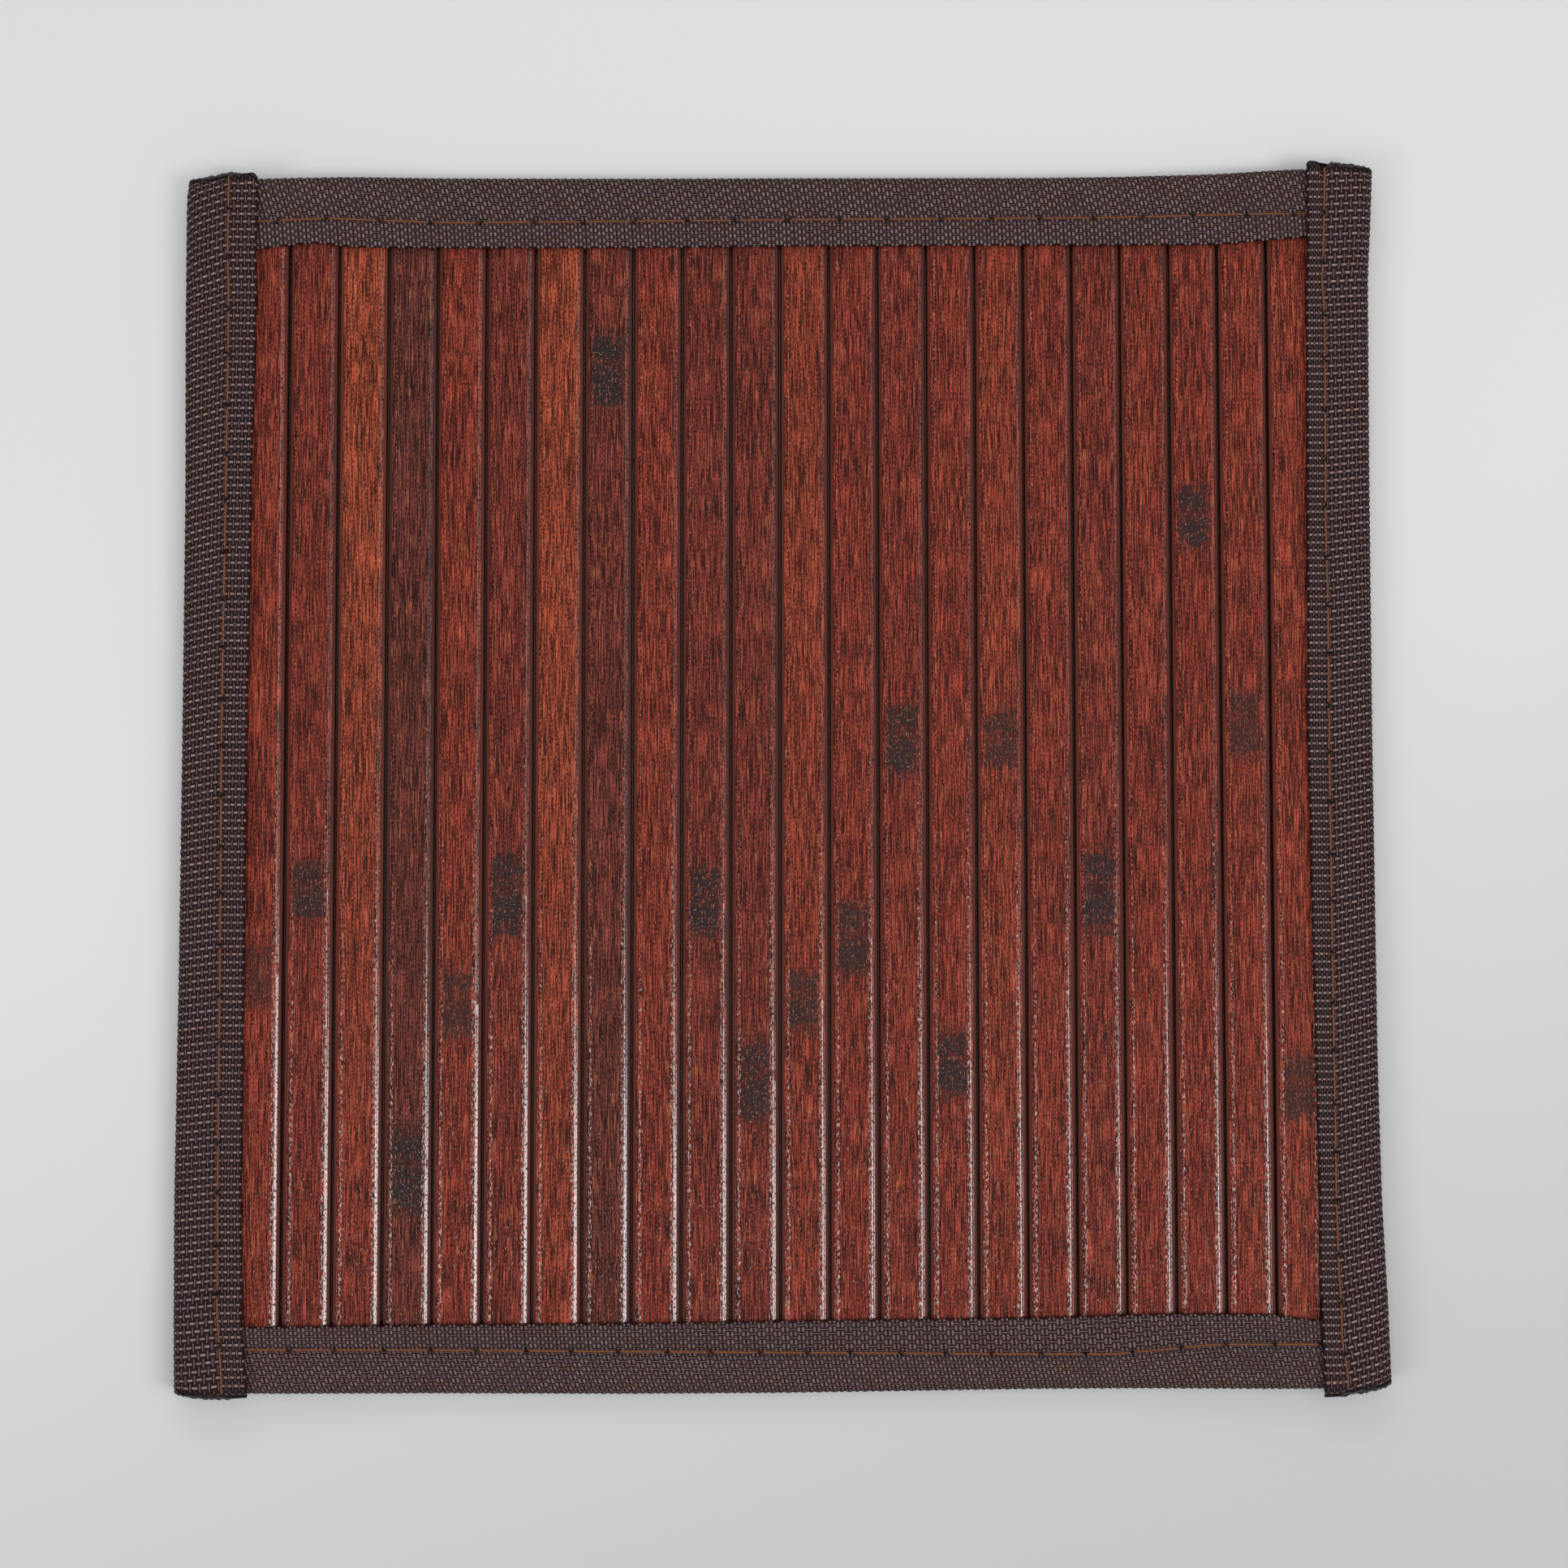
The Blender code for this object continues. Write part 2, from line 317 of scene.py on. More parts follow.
class BambooSettings(bpy.types.PropertyGroup):
    """Sizes and colours of the bamboo slats."""

    lip: FloatProperty(
        name="Lip", description="Width of the lower strip along each edge",
        default=0.5 * MM, unit="LENGTH", precision=5)
    drop: FloatProperty(
        name="Drop", description="How far the face stands above the lips",
        default=0.33 * MM, unit="LENGTH", precision=5)
    shoulder: FloatProperty(
        name="Shoulder", description="Width of the face's rounded shoulders",
        default=0.66 * MM, unit="LENGTH", precision=5)
    knot_height: FloatProperty(
        name="Knot height", description="How far the joint's ridge stands up from the face",
        default=0.06 * MM, unit="LENGTH", precision=5)
    dark_stain: FloatVectorProperty(
        name="Dark stain", description="Colour of the darkest slats",
        subtype="COLOR", size=3, default=(0.058, 0.018, 0.0150))
    red_stain: FloatVectorProperty(
        name="Red stain", description="Colour of most slats",
        subtype="COLOR", size=3, default=(0.152, 0.0225, 0.0133))
    orange_stain: FloatVectorProperty(
        name="Orange stain", description="Colour of the brightest slats",
        subtype="COLOR", size=3, default=(0.25, 0.050, 0.020))
    knot_colour: FloatVectorProperty(
        name="Knot colour", description="Colour of the dark bands at the joints",
        subtype="COLOR", size=3, default=(0.020, 0.0145, 0.0150))
    streak_colour: FloatVectorProperty(
        name="Streak colour", description="Colour of the pale fibres",
        subtype="COLOR", size=3, default=(0.46, 0.13, 0.055))
    # Colour of the painted glint specks on the faces, and of the pale flecks at the joints.
    fleck_and_glint_colour: FloatVectorProperty(
        name="Worn colour", description="Colour of the small marks in the varnish",
        subtype="COLOR", size=3, default=(0.54, 0.40, 0.375))


class TapeSettings(bpy.types.PropertyGroup):
    """Sizes and colours of the woven tape."""

    row_pitch: FloatProperty(
        name="Row pitch", description="Distance from one weft row to the next",
        default=1.29 * MM, unit="LENGTH", precision=5)
    relief: FloatProperty(
        name="Relief", description="How far the yarns rise and fall as they cross",
        default=0.13 * MM, unit="LENGTH", precision=5)
    yarn_colour: FloatVectorProperty(
        name="Yarn colour", description="Colour between the raised yarns",
        subtype="COLOR", size=3, default=(0.020, 0.0095, 0.0112))
    # The warp and weft colours are painted highlight colours, for the glints on the raised yarns.
    warp_highlight_colour: FloatVectorProperty(
        name="Warp colour", description="Colour of the raised warp yarns",
        subtype="COLOR", size=3, default=(0.22, 0.150, 0.152))
    weft_highlight_colour: FloatVectorProperty(
        name="Weft colour", description="Colour of the raised weft yarns",
        subtype="COLOR", size=3, default=(0.37, 0.262, 0.258))
    melt_colour: FloatVectorProperty(
        name="Melted colour", description="Colour of the melted cut ends",
        subtype="COLOR", size=3, default=(0.008, 0.006, 0.006))


class StitchSettings(bpy.types.PropertyGroup):
    """Sizes and colour of the stitching."""

    thread: FloatProperty(
        name="Thread diameter", description="Diameter of the two-ply thread",
        default=0.44 * MM, unit="LENGTH", precision=5)
    twist: FloatProperty(
        name="Twist", description="Length of one turn of the thread's plies",
        default=1.3 * MM, unit="LENGTH", precision=5)
    plies: IntProperty(
        name="Plies", description="Yarns twisted together in the thread", default=2, min=1, max=4)
    thread_colour: FloatVectorProperty(
        name="Thread colour", description="Colour of the thread",
        subtype="COLOR", size=3, default=(0.27, 0.085, 0.030))


class StageSettings(bpy.types.PropertyGroup):
    """Camera, floor and lights."""

    lens: FloatProperty(
        name="Lens", description="Focal length on a 36 mm sensor, in millimetres", default=70.0)
    camera_height: FloatProperty(
        name="Camera height", description="Height of the camera above the table",
        default=507.09 * MM, unit="LENGTH")
    floor_colour: FloatVectorProperty(
        name="Floor colour", description="Colour of the table",
        subtype="COLOR", size=3, default=(0.74, 0.745, 0.75))
    light: FloatProperty(
        name="Light", description="Strength of all the lights together", default=1.0, min=0.0)


PANELS = (
    ("trivet_bamboo", "Bamboo", BambooSettings),
    ("trivet_tape", "Tape", TapeSettings),
    ("trivet_stitch", "Stitching", StitchSettings),
    ("trivet_stage", "Stage", StageSettings),
)


# Places

def mat_middle():
    """Where the CAD's frame has the mat's own middle, in millimetres."""
    low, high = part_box("slat_01")[0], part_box(f"slat_{SLAT_COUNT:02d}")[1]
    across = (low.x + high.x) / 2 / MM
    index = SLAT_COUNT // 2 - 1
    node = f"slat_{index + 1:02d}"
    fold = np.interp(slat_centre(index), *columns(BACK_SECTIONS, "along", "fold"))
    return across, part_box(node)[1].y / MM - (fold - END_SETBACK)


def slat_centre(index):
    return (index - (SLAT_COUNT - 1) / 2) * SLAT_PITCH


def columns(table, *names):
    """Columns of a table of namedtuples, as arrays."""
    return [np.array([getattr(row, name) for row in table], float) for name in names]


def read(table, name, along, ease=2.5):
    """A column of a table at each place along, with its corners rounded over twice the ease."""
    places, values = columns(table, table[0]._fields[0], name)
    steps = np.linspace(-ease, ease, 5)
    return sum(np.interp(along + step, places, values) for step in steps) / len(steps)


def ramp(value, low, high):
    """0 to 1 as the value goes from low to high."""
    return np.clip((value - low) / (high - low), 0.0, 1.0)


def smooth(value, low, high):
    share = ramp(value, low, high)
    return share * share * (3 - 2 * share)


def hump(distance, radius):
    """1 at no distance, falling off over the radius."""
    return np.exp(-(distance / radius) ** 2)


def edge_rise(x):
    """How much higher than its field the mat lies at this distance from its middle."""
    return EDGE_RISE * ramp(np.abs(x), RISE_NONE_TO, RISE_FULL_FROM)


def fold_radius(tape, along):
    """Radius of the fold's middle line."""
    if not tape.is_side:
        return np.full_like(along, FOLD_SINGLE)
    wide = FOLD_SINGLE + (FOLD_DOUBLE - FOLD_SINGLE) * smooth(np.abs(along), CORNER_TO, CORNER_FROM)
    from_cut = np.minimum(along - tape.ends[0], tape.ends[1] - along)
    return np.minimum(wide, FOLD_AT_CUT + (FOLD_DOUBLE - FOLD_AT_CUT) * ramp(from_cut, 0.0, CUT_EASE))


def placed(tape, along, out, height):
    """Frame coordinates in metres of points of a tape; height is from the slats' middle."""
    middle_x, middle_y = mat_middle()
    if tape.is_side:
        points = (tape.side * out + middle_x, along + middle_y, SLATS_MIDDLE + EDGE_RISE + height)
    else:
        points = (along + middle_x, tape.side * out + middle_y, SLATS_MIDDLE + edge_rise(along) + height)
    return np.stack(np.broadcast_arrays(*points), axis=-1) * MM


# Scene helpers

def deselect():
    if bpy.context.object and bpy.context.object.mode != "OBJECT":
        bpy.ops.object.mode_set(mode="OBJECT")
    bpy.ops.object.select_all(action="DESELECT")


def make_active(item):
    deselect()
    item.select_set(True)
    bpy.context.view_layer.objects.active = item


def select_vertices(test):
    """In edit mode, selects the vertices whose place passes the test, and no others."""
    bpy.ops.mesh.select_mode(type="VERT")
    bpy.ops.mesh.select_all(action="DESELECT")
    mesh = bmesh.from_edit_mesh(bpy.context.object.data)
    for vertex in mesh.verts:
        vertex.select_set(bool(test(vertex.co)))
    mesh.select_flush(True)
    bmesh.update_edit_mesh(bpy.context.object.data)


def select_edges(test):
    """In edit mode, selects the edges both of whose ends pass the test, and no others."""
    bpy.ops.mesh.select_mode(type="EDGE")
    bpy.ops.mesh.select_all(action="DESELECT")
    mesh = bmesh.from_edit_mesh(bpy.context.object.data)
    for edge in mesh.edges:
        edge.select_set(bool(test(edge.verts[0].co) and test(edge.verts[1].co)))
    bmesh.update_edit_mesh(bpy.context.object.data)


def cut_across(place, direction, **options):
    """In edit mode, cuts the whole mesh by a plane."""
    bpy.ops.mesh.select_mode(type="VERT")
    bpy.ops.mesh.select_all(action="SELECT")
    bpy.ops.mesh.bisect(plane_co=place, plane_no=direction, **options)


def add_values(mesh, name, values, kind="FLOAT"):
    """Stores one value for each vertex, or the same for all, for a material to read."""
    layer = mesh.attributes.get(name) or mesh.attributes.new(name, kind, "POINT")
    field, width = {"FLOAT": ("value", 1), "FLOAT_VECTOR": ("vector", 3)}[kind]
    filled = np.broadcast_to(np.asarray(values, np.float32), (len(mesh.vertices), width)
                             if width > 1 else (len(mesh.vertices),))
    layer.data.foreach_set(field, np.ascontiguousarray(filled).ravel())


def new_piece(name, points, faces, material):
    """An object from an array of points in metres and a list of faces."""
    mesh = bpy.data.meshes.new(name)
    mesh.from_pydata(points.tolist(), [], faces)
    mesh.materials.append(material)
    mesh.shade_smooth()
    piece = bpy.data.objects.new(name, mesh)
    bpy.context.collection.objects.link(piece)
    return piece


def coordinates(mesh):
    values = np.empty(len(mesh.vertices) * 3, np.float32)
    mesh.vertices.foreach_get("co", values)
    return values.reshape(-1, 3).astype(float)


# Materials

class Value:
    """A shader socket. A sum written with it adds a Math node."""

    def __init__(self, recipe, socket):
        self.recipe = recipe
        self.socket = socket

    def sum(self, operation, first, second=0.0):
        return self.recipe.add("ShaderNodeMath", {"operation": operation}, {0: first, 1: second})

    def __add__(self, other):
        return self.sum("ADD", self, other)

    __radd__ = __add__

    def __mul__(self, other):
        return self.sum("MULTIPLY", self, other)

    __rmul__ = __mul__

    def __sub__(self, other):
        return self.sum("SUBTRACT", self, other)

    def __rsub__(self, other):
        return self.sum("SUBTRACT", other, self)

    def __truediv__(self, other):
        return self.sum("DIVIDE", self, other)

    def __abs__(self):
        return self.sum("ABSOLUTE", self)

    def floor(self):
        return self.sum("FLOOR", self)

    def most(self, other):
        return self.sum("MAXIMUM", self, other)

    def zigzag(self):
        """0 to 1 and back, with a period of 2."""
        return self.sum("PINGPONG", self, 1.0)


class Recipe:
    """A material's nodes. Each node is made by `add`."""

    def __init__(self, name, **shader):
        self.material = bpy.data.materials.new(name)
        self.material.use_nodes = True
        self.tree = self.material.node_tree
        self.shader = self.tree.nodes["Principled BSDF"]
        for socket, value in shader.items():
            self.shader.inputs[socket.replace("_", " ")].default_value = value

    def add(self, kind, settings=None, inputs=None, output=0):
        node = self.tree.nodes.new(kind)
        for key, value in (settings or {}).items():
            setattr(node, key, value)
        for key, value in (inputs or {}).items():
            self.plug(node.inputs[key], value)
        return Value(self, node.outputs[output])

    def plug(self, socket, value):
        if isinstance(value, Value):
            self.tree.links.new(value.socket, socket)
        else:
            socket.default_value = value

    def finish(self, **sockets):
        for socket, value in sockets.items():
            self.plug(self.shader.inputs[socket.replace("_", " ")], value)
        return self.material

    def attribute(self, name, output="Fac"):
        return self.add("ShaderNodeAttribute", {"attribute_name": name}, output=output)

    def parts(self, vector):
        node = self.add("ShaderNodeSeparateXYZ", inputs={0: vector}).socket.node
        return [Value(self, output) for output in node.outputs]

    def vector(self, x, y, z=0.0):
        return self.add("ShaderNodeCombineXYZ", inputs={0: x, 1: y, 2: z})

    def noise(self, vector, detail=2.0):
        return self.add(
            "ShaderNodeTexNoise", {"noise_dimensions": "3D"},
            {"Vector": vector, "Scale": 1.0, "Detail": detail, "Roughness": 0.5})

    def ramp(self, value, low, high, to_low=0.0, to_high=1.0, shape="SMOOTHSTEP"):
        return self.add(
            "ShaderNodeMapRange", {"interpolation_type": shape},
            {"Value": value, "From Min": low, "From Max": high, "To Min": to_low, "To Max": to_high})

    def mix(self, first, second, factor, blend="MIX"):
        """Colours mixed by a factor from 0 to 1."""
        return self.add(
            "ShaderNodeMix", {"data_type": "RGBA", "blend_type": blend, "clamp_factor": True},
            {0: factor, 6: colour(first), 7: colour(second)}, output=2)

    def brighten(self, tint, amount):
        return self.add(
            "ShaderNodeVectorMath", {"operation": "SCALE"}, {0: tint, "Scale": amount})

    def bump(self, height, distance, strength=1.0):
        return self.add(
            "ShaderNodeBump",
            inputs={"Height": height, "Distance": distance, "Strength": strength})


def colour(value):
    """A socket or a colour with its alpha."""
    return value if isinstance(value, Value) else (*tuple(value)[:3], 1.0)


def bamboo_material(look):
    """Stained bamboo: drawn-out fibres, pale and black streaks, dark joints, burnished shoulders,
    painted glint specks and painted shade beside the gaps.
    """
    make = Recipe(
        "Stained bamboo", IOR=1.5, Specular_IOR_Level=0.1, Coat_Roughness=0.1, Coat_IOR=2.0)
    _, along, _ = make.parts(make.add("ShaderNodeTexCoord", output="Object"))
    along = along * (1 / MM)
    across = make.attribute("across")
    seed = make.attribute("seed")
    knot_place, knot_reach, knot_dark = make.parts(make.attribute("knot", "Vector"))
    stain = make.attribute("stain", "Color")

    def fibres(width, length, shift, detail=2.0):
        """Noise whose marks are about this many millimetres across and along the slat."""
        return make.noise(
            make.vector(across * (1 / width) + seed * 31.7, along * (1 / length) + seed * 7.3, shift),
            detail)

    def strip(place, width):
        """1 on a line along the slat, 0 beyond the width."""
        return 1 - make.ramp(abs(across - place), width * 0.4, width)

    fine = fibres(0.17, 5.0, 1.0, 3.0)
    middling = fibres(0.42, 16.0, 2.0)
    broad = fibres(2.6, 30.0, 3.0)
    speckle = fibres(0.2, 0.5, 4.0, 2.0)
    face = 1 - make.ramp(abs(across), 3.28, 3.42)
    depth = (0.5 + (fine - 0.5) * 4.6 + (middling - 0.5) * 1.3 + (broad - 0.5) * 0.6
             + (speckle - 0.5) * 2.6)
    grain = make.mix(make.brighten(stain, 0.22), stain, make.ramp(depth, 0.05, 0.62))
    grain = make.mix(grain, make.brighten(stain, 2.6), make.ramp(depth, 0.62, 1.25))
    pale = make.ramp(fibres(0.19, 3.5, 5.0), 0.57, 0.66) * make.ramp(fibres(1.2, 22.0, 6.0), 0.4, 0.6)
    grain = make.mix(grain, look.streak_colour, pale * 0.7)
    black = make.ramp(fibres(0.22, 4.0, 7.0), 0.61, 0.7) * make.ramp(fibres(1.0, 14.0, 8.0), 0.45, 0.6)
    grain = make.mix(grain, look.knot_colour, black * 0.7)
    lip = make.brighten(make.mix(stain, (0.11, 0.030, 0.020), 0.5), 0.5 + speckle * 0.5)
    grain = make.mix(lip, grain, face)
    # Painted shade: the outer strip of each lip, beside the gap between slats, is darkened to stand in
    # for the shade in the gap.
    grain = make.brighten(grain, make.ramp(abs(across), 3.66, 3.84, 1.0, 0.3))

    # The joint: dark patches above and below its ridge, and pale and orange flecks.
    offset = (along - knot_place) / knot_reach.most(0.5)
    ragged = offset + make.ramp(fibres(0.9, 1.6, 9.0), 0.3, 0.7, -0.3, 0.3, "LINEAR")
    upper = 1 - make.ramp(abs(ragged - 0.5), 0.12, 0.4)
    lower = 1 - make.ramp(abs(ragged + 0.42), 0.25, 0.6)
    inside = 1 - make.ramp(abs(across + (fibres(0.9, 1.2, 10.0) - 0.5) * 2.4 + 0.2), 2.0, 3.0)
    patch = upper.most(lower) * inside * make.ramp(fibres(0.6, 1.3, 11.0, 3.0), 0.31, 0.42)
    near = abs(offset) + (fibres(0.4, 3.0, 16.0) - 0.5) * 1.5
    near = (1 - make.ramp(near, 0.55, 1.15)) * inside * knot_dark
    ring = 1 - make.ramp(abs(ragged), 0.02, 0.07)
    grain = make.mix(grain, make.brighten(stain, 0.32), near * 0.75)
    grain = make.mix(grain, look.knot_colour, patch.most(ring * inside * 0.8) * knot_dark * 0.95)
    orange = make.ramp(fibres(0.28, 1.1, 12.0), 0.6, 0.68) * near
    grain = make.mix(grain, look.streak_colour, orange * 0.6)
    fleck = make.ramp(fibres(0.26, 0.34, 13.0), 0.64, 0.7) * near
    grain = make.mix(grain, look.fleck_and_glint_colour, fleck * 0.6)

    # Painted glints: pale specks painted into the colour where the lamps glint off the varnish, denser
    # and paler towards the front and along both shoulders; they also get lower roughness and a bump.
    front = make.ramp(along, 60.0, -85.0)
    edges = (strip(2.6, 0.45) * make.ramp(along, 75.0, -45.0)
             + strip(-2.7, 0.35) * make.ramp(along, 30.0, -60.0))
    marks = make.ramp(fibres(0.17, 0.8, 14.0) + front * 0.06 + edges * 0.12, 0.7, 0.76)
    marks = marks * face * (make.ramp(fibres(0.9, 9.0, 15.0), 0.38, 0.6) + edges)
    # The painted glints are orange at the back, in the streak colour, and grey white at the front.
    glint_tint = make.mix(look.streak_colour, look.fleck_and_glint_colour, front)
    grain = make.mix(grain, glint_tint, marks * 0.85)

    roughness = 0.48 - marks * 0.2 + (speckle - 0.5) * 0.2
    height = fine * 0.5 + speckle * 0.6 + middling * 0.4 + marks * 0.8
    normal = make.bump(height * (0.3 + face * 0.7), 0.06 * MM)
    coat = (strip(3.06, 0.34) * make.ramp(speckle, 0.36, 0.5)
            + strip(-2.95, 0.5) * make.ramp(speckle, 0.56, 0.64) * 0.6)
    return make.finish(Base_Color=grain, Roughness=roughness, Normal=normal, Coat_Weight=coat)


def weave_material(look):
    """Woven tape: weft dashes and warp bars of painted highlight over the dark yarn colour, on the weave
    map.
    """
    make = Recipe("Woven tape", IOR=1.5, Specular_IOR_Level=0.05)
    warp, row, _ = make.parts(make.add("ShaderNodeUVMap", {"uv_map": "weave"}))
    shine_dash, shine_bar, twin = make.parts(make.attribute("shine", "Vector"))
    in_warp = abs(warp - warp.floor() - 0.5)
    in_row = abs(row - row.floor() - 0.5)
    to_dash = (warp - 0.5 - row.floor()).zigzag()
    to_bar = (row + 0.5 - warp.floor()).zigzag()
    lines = make.noise(make.vector(warp * 1.5, row * 9.0), 2.0)
    strands = make.noise(make.vector(warp * 9.0, row * 1.5, 3.0), 2.0)
    patches = make.noise(make.vector(warp * 0.3, row * 0.3, 8.0), 2.0)
    chance = make.add(
        "ShaderNodeTexWhiteNoise", {"noise_dimensions": "2D"},
        {"Vector": make.vector((warp * 0.5 + row.floor() * 0.5).floor(), row.floor())}, "Value")
    # The dashes and bars are painted highlights: lighter colour where the lamps would glint off the
    # raised yarns.
    dash = make.ramp(to_dash, 0.68, 0.4) * make.ramp(abs(in_row - twin * 0.27), 0.19, 0.06)
    dash = dash * (0.35 + chance * 0.4 + make.ramp(lines, 0.3, 0.7, 0.0, 0.5, "LINEAR")) * shine_dash
    bar = make.ramp(to_bar, 0.7, 0.35) * make.ramp(in_warp, 0.21, 0.06)
    bar = bar * (0.35 + make.ramp(strands, 0.3, 0.7, 0.0, 0.9, "LINEAR")) * shine_bar
    tint = make.mix(look.yarn_colour, look.warp_highlight_colour, bar)
    tint = make.mix(tint, look.weft_highlight_colour, dash)
    browned = make.mix(tint, (1.0, 0.92, 0.78), 1.0, "MULTIPLY")
    tint = make.mix(tint, browned, make.ramp(patches, 0.45, 0.7))
    # Painted shade: the needle holes and the seam line are darkened nearly to black.
    hole = make.attribute("hole")
    melted = make.attribute("melted")
    tint = make.mix(tint, (0.004, 0.003, 0.003), hole * 0.95)
    tint = make.mix(tint, look.melt_colour, melted * 0.9)
    height = dash * 0.5 + bar * 0.4 + lines * 0.15 + strands * 0.15
    normal = make.bump(height, 0.1 * MM, 0.7)
    return make.finish(Base_Color=tint, Roughness=0.62 - melted * 0.2, Normal=normal)


def melted_material(look):
    """Webbing that a hot knife has melted: black, lumpy and slightly glossy."""
    make = Recipe("Melted webbing", IOR=1.5)
    place = make.add("ShaderNodeTexCoord", output="Object")
    lumps = make.noise(make.brighten(place, 2600.0), 3.0)
    tint = make.mix(look.melt_colour, (0.05, 0.035, 0.035), make.ramp(lumps, 0.5, 0.75))
    normal = make.bump(lumps, 0.15 * MM, 0.8)
    return make.finish(
        Base_Color=tint, Roughness=make.ramp(lumps, 0.3, 0.7, 0.3, 0.6), Normal=normal)


def thread_material(look):
    """Two-ply polyester thread, with fine fibres along each ply."""
    make = Recipe("Stitching thread", IOR=1.5)
    around, run, _ = make.parts(make.add("ShaderNodeUVMap", {"uv_map": "ply"}))
    fibres = make.noise(make.vector(around * 14.0, run * 1.2), 2.0)
    tint = make.brighten(colour_value(make, look.thread_colour), make.ramp(fibres, 0.3, 0.7, 0.55, 1.25))
    normal = make.bump(fibres, 0.03 * MM, 0.8)
    return make.finish(Base_Color=tint, Roughness=0.55, Normal=normal)


def colour_value(make, tint):
    """A plain colour as a socket."""
    return make.mix(tint, tint, 0.0)


def floor_material(look):
    """A matt table with painted shade: darker towards the front and the front right corner, a little
    mottled.
    """
    make = Recipe("Pale table", Specular_IOR_Level=0.2)
    place = make.add("ShaderNodeTexCoord", output="Object")
    right, back, _ = make.parts(place)
    cloud = make.noise(make.brighten(place, 2.0), 2.0)
    # Painted shade: the table's colour darkens towards the front and the front right corner.
    near = make.ramp(back - right * 0.3, 0.03, -0.17)
    shade = [0.74 * part for part in look.floor_colour]
    tint = make.mix(look.floor_colour, shade, near * 0.9 + cloud * 0.1)
    return make.finish(Base_Color=tint, Roughness=0.75)


# Slats

def model_slat(look):
    """The slat that all the others are copied from, 1 m long for now, lying at the origin."""
    half = (SLAT_PITCH - SLAT_GAP) / 2 * MM
    top = SLAT_THICKNESS * MM
    near = 0.02 * MM
    deselect()
    bpy.ops.mesh.primitive_cube_add(size=1.0, location=(0, 0, top / 2), scale=(2 * half, 1.0, top))
    slat = bpy.context.object
    slat.name = "slat_model"
    bpy.ops.object.transform_apply(location=True, rotation=True, scale=True)
    bpy.ops.object.mode_set(mode="EDIT")
    lip = half - look.lip
    wall = lip - 0.1 * MM
    profile = {half: look.drop + 0.03 * MM, lip: look.drop}
    for share, fall in ((0.0, 0.2), (1 / 3, 0.106), (2 / 3, 0.039), (1.0, 0.0)):
        profile[wall - look.shoulder * share] = fall * MM
    for x in profile:
        for side in (-1, 1):
            if x < half:
                cut_across((side * x, 0, 0), (1, 0, 0))
    cut_across((0, 0, 0.9 * MM), (0, 0, 1))
    for x, fall in profile.items():
        select_vertices(lambda p: p.z > top - near and abs(abs(p.x) - x) < near)
        bpy.ops.transform.translate(value=(0, 0, -fall))
    for side in (-1, 1):
        select_vertices(lambda p: p.x * side > half - near and p.z < 1.0 * MM)
        bpy.ops.transform.translate(value=(side * 0.11 * MM, 0, 0))
    select_edges(lambda p: abs(p.x) > half - near and 1.1 * MM < p.z < 1.31 * MM)
    bpy.ops.mesh.bevel(offset=0.1 * MM, segments=2, affect="EDGES")
    select_edges(lambda p: abs(p.x) > half and p.z < near)
    bpy.ops.mesh.bevel(offset=0.2 * MM, segments=2, affect="EDGES")
    bpy.ops.object.mode_set(mode="OBJECT")
    add_values(slat.data, "across", coordinates(slat.data)[:, 0] / MM)
    return slat


def stain_of(look, tone):
    other = look.orange_stain if tone > 0 else look.dark_stain
    return np.array([red + (end - red) * abs(tone) for red, end in zip(look.red_stain, other)])


